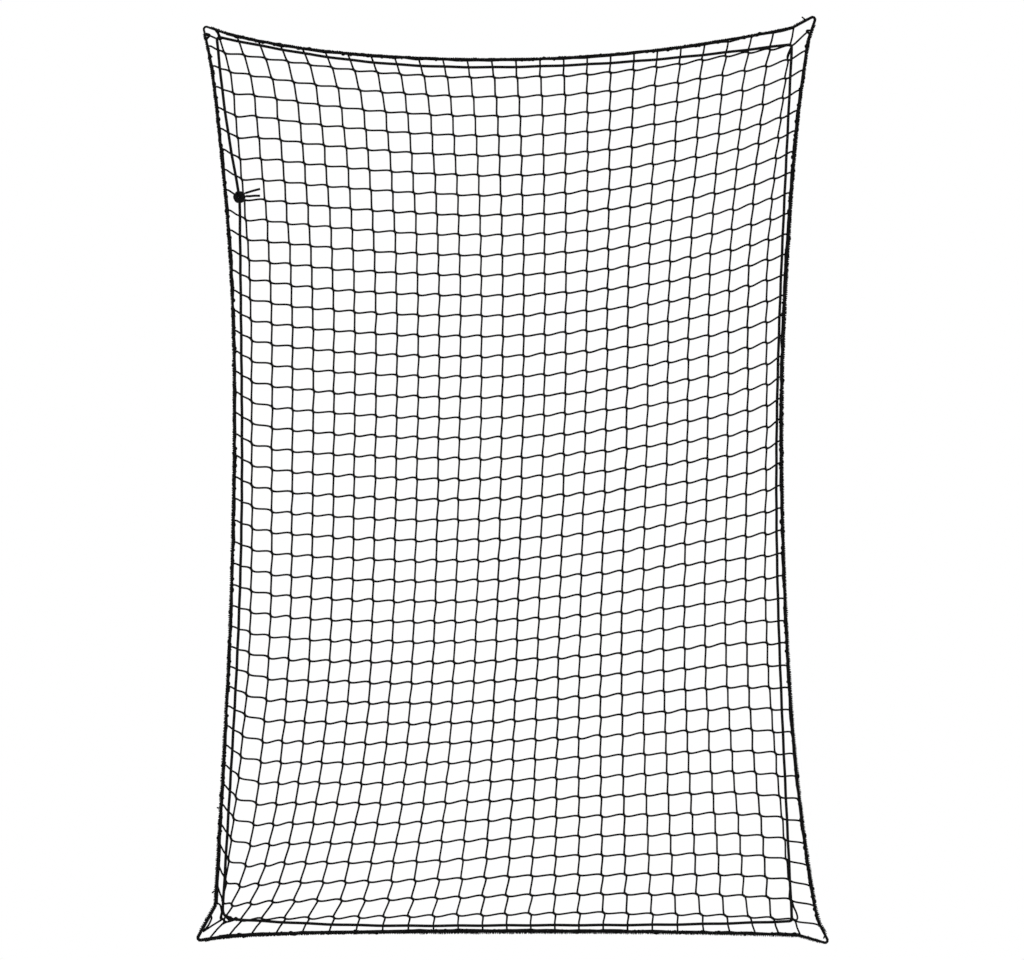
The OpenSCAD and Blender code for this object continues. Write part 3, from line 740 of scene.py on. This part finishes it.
def random_turns(total):
    """Turns up to a total length: each point's place along it, angle, swell and push inward."""
    points = []
    at, lump, push = 0.0, 0.0, 0.0
    while at < total - TURN_ROOM:
        pitch = LASHING_PITCH * rng.uniform(*PITCH_SPREAD)
        kind = rng.random()
        if kind < LARGE_LUMPS:
            lump, push = rng.uniform(*LARGE_SWELL), rng.uniform(*LARGE_PUSH)
        elif kind < ALL_LUMPS:
            lump, push = rng.uniform(*SMALL_SWELL), rng.uniform(*SMALL_PUSH)
        lump *= LUMP_KEPT
        push *= LUMP_KEPT
        swell = rng.normal(0, SWELL_SCATTER) + lump
        for k in range(TURN_POINTS):
            angle = 2 * math.pi * k / TURN_POINTS
            points.append((at + pitch * k / TURN_POINTS, angle, swell, push))
        at += pitch
    stations, angles, swells, pushes = np.array(points).T.copy()
    even = np.ones(EVENED_OVER) / EVENED_OVER
    return stations, angles, np.convolve(swells, even, "same"), np.convolve(pushes, even, "same")


def lashing(side):
    """A twine wound round rope and selvedge, with lumps where it is hitched."""
    places = lashed_line(side, LASHING_STEP)
    inward = way_inward(side, places)
    stations, angles, swell, push = random_turns((len(places) - 1) * LASHING_STEP)
    index = np.clip((stations / LASHING_STEP).astype(int), 0, len(places) - 1)
    pull = pulled_in(side, places)[index]
    half_in = half_along(side, len(places))[index] + swell + TURNS_WIDENED * pull
    half_y = ROPE_R + LASHING_R + CLEAR + SWELL_IN_DEPTH * swell
    sideways = push + TURNS_SHIFTED * pull - BUNDLE_OUT[side] - half_in * np.cos(angles)
    depth = ROPE_Y + LASHING_BACK + half_y * np.sin(angles)
    bundle = Bundle()
    path = in_plane(places[index] + sideways[:, None] * inward[index], depth)
    bundle.tube(path, LASHING_R, sides=6)
    bundle.make(f"lashing_{side}_turns", lashing_twine, "lashing", f"lashing_{side}")


def hitches():
    """Short thick runs of the lashing, mostly at the inner side, that make it lumpy."""
    bundle = Bundle()
    t = np.linspace(-0.5, 0.5, 5)[:, None]
    for side in SIDES:
        places = bound_line(side, 1.0)
        along, inward = way_along(places), way_inward(side, places)
        half = half_along(side, len(places))
        at = rng.uniform(*HITCH_FIRST)
        while at < len(places) - HITCH_ROOM:
            k = int(at)
            if rng.random() < INNER_HITCHES:
                off = SELVEDGE_IN[side] + rng.uniform(*INNER_STRAY)
            else:
                off = -half[k] - BUNDLE_OUT[side] - rng.uniform(*OUTER_STRAY)
            run = t * rng.uniform(*HITCH_LENGTH) * along[k]
            bow = off * (1 - HITCH_FALL * (2 * t) ** 2) * inward[k]
            depth = (ROPE_Y + rng.uniform(*HITCH_DEPTH)
                     + rng.normal(0, HITCH_DEPTH_SCATTER, len(t)))
            path = smooth_through(in_plane(places[k] + run + bow, depth), step=0.8)
            bundle.tube(path, rng.uniform(*HITCH_R), round_ends=True)
            at += HITCH_LEAST_GAP + rng.exponential(HITCH_MEAN_GAP)
    bundle.make("lashing_hitches", lashing_twine, "lashing")


selvedge()
for side in SIDES:
    lashing(side)
hitches()

# ---- lashing's cut ends -------------------------------------------------------------

CUT_END_Y = ROPE_Y - 1.0
CUT_ENDS = (
    ((637, 1001), (633, 1004), (629, 1007)),
    ((-665, 918), (-660, 919), (-657, 921)),
    ((-638, -713), (-641, -716), (-645, -715)),
    ((-647, -896), (-652, -897), (-656, -900)),
    ((665, -947), (661, -948), (657, -950)),
    ((680, -993), (677, -996), (676, -999)),
)


def cut_ends():
    bundle = Bundle()
    for line in CUT_ENDS:
        path = smooth_through(in_plane(line, CUT_END_Y), step=0.8)
        bundle.tube(path, CUT_END_R, round_ends=True)
    bundle.make("lashing_cut_ends", lashing_twine, "lashing", "lashing_ends")


cut_ends()

# ---- lacing cord --------------------------------------------------------------------

CORD_CORNERS = {
    "top_left": (-647, 965), "top_right": (607, 949),
    "bottom_right": (607, -963), "bottom_left": (-635, -957),
}
CORD_BEND_R = {"top_left": 11.0, "top_right": 9.0, "bottom_right": 6.0, "bottom_left": 24.0}
KNOT = np.array((-597.0, 615.0))
KNOT_Y = -10.0
# The cord comes up to this share of the knot's depth, and stops this far from its centre
CORD_END_RISE = 0.9
CORD_END_AWAY = 9.0
# Each stretch's two ends, the way into the net, and the sizes of three waves that way
STRETCHES = {
    "top": ("top_left", "top_right", (0, -1), (60, 5, 2)),
    "right": ("top_right", "bottom_right", (-1, 0), (33, 0, -1)),
    "bottom": ("bottom_left", "bottom_right", (0, 1), (-14, -2, -2)),
    "left_low": ("knot", "bottom_left", (1, 0), (20.5, 0, -1)),
    "left_high": ("top_left", "knot", (1, 0), (-5, 0, 0)),
}
# From below the knot, round the net, to above it: each stretch, the share at which it is
# begun, 0 or 1, and its number of points
ROUTE = (
    ("left_low", 0, 300), ("bottom", 0, 300), ("right", 1, 300), ("top", 1, 300),
    ("left_high", 0, 100),
)
CORD_STEP = 2.0
# How far before or behind a strand the cord passes, and the least way from one to the next
WEAVE_DEPTH = 3.7
WEAVE_LEAST = 12
# The cord counts as meeting a strand between these shares of the strand's last mesh, from
# the border inward
MET_WITHIN = (-0.15, 1.3)


def cord_place(stretch, shares):
    """Places at shares along a stretch of the lacing cord."""
    a, b, inward, waves = STRETCHES[stretch]
    p = KNOT if a == "knot" else np.array(CORD_CORNERS[a], float)
    q = KNOT if b == "knot" else np.array(CORD_CORNERS[b], float)
    t = shares[:, None]
    bow = sum(w * np.sin((k + 1) * np.pi * t) for k, w in enumerate(waves))
    return (1 - t) * p + t * q + bow * np.array(inward, float)


def lacing_route():
    """The cord's whole route, evenly spaced and with its corners rounded."""
    line = [cord_place(stretch, np.linspace(begun, 1 - begun, n)) for stretch, begun, n in ROUTE]
    line = spaced(np.vstack(line), CORD_STEP)
    for name, corner in CORD_CORNERS.items():
        corner = np.array(corner, float)
        away = np.linalg.norm(line - corner, axis=1)
        near = np.where(away < CORD_BEND_R[name])[0]
        a, b = near[0], near[-1]
        t = np.linspace(0, 1, b - a + 1)[:, None]
        line[a:b + 1] = (1 - t) ** 2 * line[a] + 2 * t * (1 - t) * corner + t ** 2 * line[b]
    return spaced(line, CORD_STEP)


def strands_met(line):
    """The points at which the cord's line meets rows and columns that end at the border."""
    last_meshes = [(GRID[end, j], GRID[next_in, j]) for end, next_in in ((0, 1), (-1, -2))
                   for j in range(1, MESHES_HIGH)]
    last_meshes += [(GRID[i, end], GRID[i, next_in]) for end, next_in in ((0, 1), (-1, -2))
                    for i in range(1, MESHES_WIDE)]
    found = []
    for a, b in last_meshes:
        d = b - a
        side = d[0] * (line[:, 1] - a[1]) - d[1] * (line[:, 0] - a[0])
        share = ((line - a) @ d) / (d @ d)
        within = (share[:-1] > MET_WITHIN[0]) & (share[:-1] < MET_WITHIN[1])
        found.extend(np.where((side[:-1] * side[1:] <= 0) & within)[0])
    found.sort()
    kept = found[:1]
    for k in found[1:]:
        if (k - kept[-1]) * CORD_STEP > WEAVE_LEAST:
            kept.append(k)
    return kept


def lacing():
    """The cord, which goes in front of one strand and behind the next."""
    line = lacing_route()
    met = strands_met(line)
    marks = [0] + met + [len(line) - 1]
    weave = [WEAVE_DEPTH if n % 2 else -WEAVE_DEPTH for n in range(len(met))]
    depths = [KNOT_Y * CORD_END_RISE] + weave + [KNOT_Y * CORD_END_RISE]
    y = np.zeros(len(line))
    for a, b, y_a, y_b in zip(marks[:-1], marks[1:], depths[:-1], depths[1:]):
        t = np.linspace(0, 1, b - a + 1)
        y[a:b + 1] = y_a + (y_b - y_a) * (3 * t ** 2 - 2 * t ** 3)
    clear = np.linalg.norm(line - KNOT, axis=1) > CORD_END_AWAY
    bundle = Bundle()
    bundle.tube(in_plane(line, y)[clear], CORD_R, sides=12)
    bundle.make("lacing_cord_run", cord_braid, "cord", "lacing_cord")


lacing()

# ---- knot and tails -----------------------------------------------------------------

KNOT_CENTRE = np.array((KNOT[0], KNOT_Y, KNOT[1]))
# The knot's strands follow a ring and wind about it at the passes' radius, which is greater
# in depth by a factor
KNOT_RING_R = 7.6
KNOT_PASS_R = 3.5
KNOT_DEPTH = 1.35
PASSES_PER_ROUND = 1.5
# Where on the ring they begin, and how far they go, in degrees
KNOT_FROM = 125
KNOT_TURN = 700
KNOT_POINTS = 150
# From the knot's centre, across, through and up: the last passes, which end where the
# tails leave the knot, and the tails
KNOT_PASSES = (
    ((-8.5, 0, -6.5), (-1, -2, 0.5), (6, -1, 4.5), (10.2, 0, 7.6)),
    ((1, 0, -6), (7.5, -1, -2), (11.4, 0, 1.6)),
)
TAILS = {
    "upper": ((12.85, 0, 8.5), (22, 1, 11.5), (32, 2, 14.5), (45, 3, 18)),
    "lower": ((14.05, 0, 2), (23, 1, 2), (33, 2, 3), (45, 3, 3)),
}


def knot():
    """Two strands of cord that wind side by side round a ring, and the last passes."""
    bundle = Bundle()
    wind = np.radians(np.linspace(KNOT_FROM, KNOT_FROM + KNOT_TURN, KNOT_POINTS))
    for phase in (0, 90):
        section = PASSES_PER_ROUND * wind + math.radians(phase)
        r = KNOT_RING_R + KNOT_PASS_R * np.cos(section)
        x = KNOT[0] + r * np.cos(wind)
        y = KNOT_Y + KNOT_DEPTH * KNOT_PASS_R * np.sin(section)
        z = KNOT[1] + r * np.sin(wind)
        bundle.tube(np.stack([x, y, z], 1), KNOT_CORD_R, sides=10)
    for route in KNOT_PASSES:
        path = smooth_through(np.array(route, float) + KNOT_CENTRE, step=1.2)
        bundle.tube(path, KNOT_CORD_R, sides=10, round_ends=True)
    bundle.make("knot_strands", cord_braid, "cord", "lacing_knot")


def tail(name, route):
    """A cut end of the cord, the only kind of free cord on the net."""
    path = smooth_through(np.array(route, float) + KNOT_CENTRE, step=1.5)
    bundle = Bundle()
    bundle.tube(path, TAIL_R, sides=12)
    piece = bundle.make(f"tail_{name}", cord_braid, "cord", f"cord_tail_{name}")


knot()
for name, route in TAILS.items():
    tail(name, route)

# ---- corner twines ------------------------------------------------------------------

# Loose twines of the netting where the corners are drawn out, just before the sheet
CORNER_TWINES_Y = -0.6
CORNER_TWINES = (
    ((-649, 978), (-645, 973), (-642, 967), (-640, 961)),
    ((-644, 977), (-642, 970), (-639, 965), (-637, 960)),
    ((-669, 971), (-663, 968), (-654, 964), (-644, 959)),
    ((-670, 972), (-663, 970), (-662, 967), (-666, 963), (-669, 959)),
    ((-669, 969), (-665, 966), (-668, 962)),
    ((647, 979), (640, 979), (639, 976), (644, 972), (645, 968)),
    ((605, 942), (600, 931), (597, 922), (598, 916), (604, 914)),
    ((608, -922), (611, -932), (616, -943), (619, -954), (617, -960), (609, -959)),
    ((-647, -923), (-640, -927), (-637, -937), (-636, -948), (-638, -960)),
    ((-662, -947), (-658, -955), (-661, -964), (-666, -973), (-675, -984)),
    ((-628, -949), (-621, -953), (-616, -954), (-611, -959), (-605, -955), (-599, -961)),
    ((-626, -955), (-619, -960), (-610, -958), (-604, -961)),
    ((-636, -970), (-626, -965), (-615, -961), (-602, -958)),
)


def corner_twines():
    bundle = Bundle()
    for line in CORNER_TWINES:
        path = smooth_through(in_plane(line, CORNER_TWINES_Y), step=2.5)
        bundle.tube(path, TWINE_R, round_ends=True)
    bundle.make("netting_corner_twines", twine, "twine")


corner_twines()

# ---- floor, light and background ----------------------------------------------------

FLOOR = ((-2.2, -1.8), (2.2, -1.8), (2.2, 0.9), (-2.2, 0.9))
FLOOR_Z = -1.32
FLOOR_GREY = 0.86
# Area lamps that face the net: power, place and size
LAMPS = {
    "key": (90, (-2.4, -4.2, 2.6), 2.6),
    "fill": (45, (3.0, -3.6, 0.8), 3.0),
    "back": (45, (0.4, 3.6, 2.4), 3.0),
}
# The background's strength as light on the net, and as it is seen
AMBIENT = 0.55
WHITE = 1.0


def floor():
    mat = bpy.data.materials.new("floor_white")
    mat.use_nodes = True
    shader = mat.node_tree.nodes["Principled BSDF"]
    shader.inputs["Base Color"].default_value = (FLOOR_GREY, FLOOR_GREY, FLOOR_GREY, 1)
    shader.inputs["Roughness"].default_value = 0.9
    mesh = bpy.data.meshes.new("floor")
    mesh.from_pydata([(x, y, FLOOR_Z) for x, y in FLOOR], [], [(0, 1, 2, 3)])
    mesh.materials.append(mat)
    panel = bpy.data.objects.new("floor", mesh)
    bpy.context.scene.collection.objects.link(panel)


def lamp(name, power, place, size):
    data = bpy.data.lights.new(name, "AREA")
    data.energy = power
    data.size = size
    light = bpy.data.objects.new(name, data)
    bpy.context.scene.collection.objects.link(light)
    light.location = place
    light.rotation_euler = (-Vector(place)).to_track_quat("-Z", "Y").to_euler()


def background():
    """A soft light on the net, which the camera and the net's gloss see as white."""
    world = bpy.data.worlds.new("studio")
    bpy.context.scene.world = world
    world.use_nodes = True
    nodes, links = world.node_tree.nodes, world.node_tree.links
    nodes.clear()
    rays = nodes.new("ShaderNodeLightPath")
    seen = rays.outputs["Is Camera Ray"]
    for kind in ("Is Glossy Ray", "Is Transmission Ray"):
        either = nodes.new("ShaderNodeMath")
        either.operation = "MAXIMUM"
        links.new(seen, either.inputs[0])
        links.new(rays.outputs[kind], either.inputs[1])
        seen = either.outputs[0]
    mix = nodes.new("ShaderNodeMixShader")
    links.new(seen, mix.inputs["Fac"])
    for socket, strength in ((1, AMBIENT), (2, WHITE)):
        glow = nodes.new("ShaderNodeBackground")
        glow.inputs["Color"].default_value = (1, 1, 1, 1)
        glow.inputs["Strength"].default_value = strength
        links.new(glow.outputs[0], mix.inputs[socket])
    output = nodes.new("ShaderNodeOutputWorld")
    links.new(mix.outputs[0], output.inputs["Surface"])


floor()
for name, (power, place, size) in LAMPS.items():
    lamp(name, power, place, size)
background()
bpy.context.scene.view_settings.view_transform = "Standard"
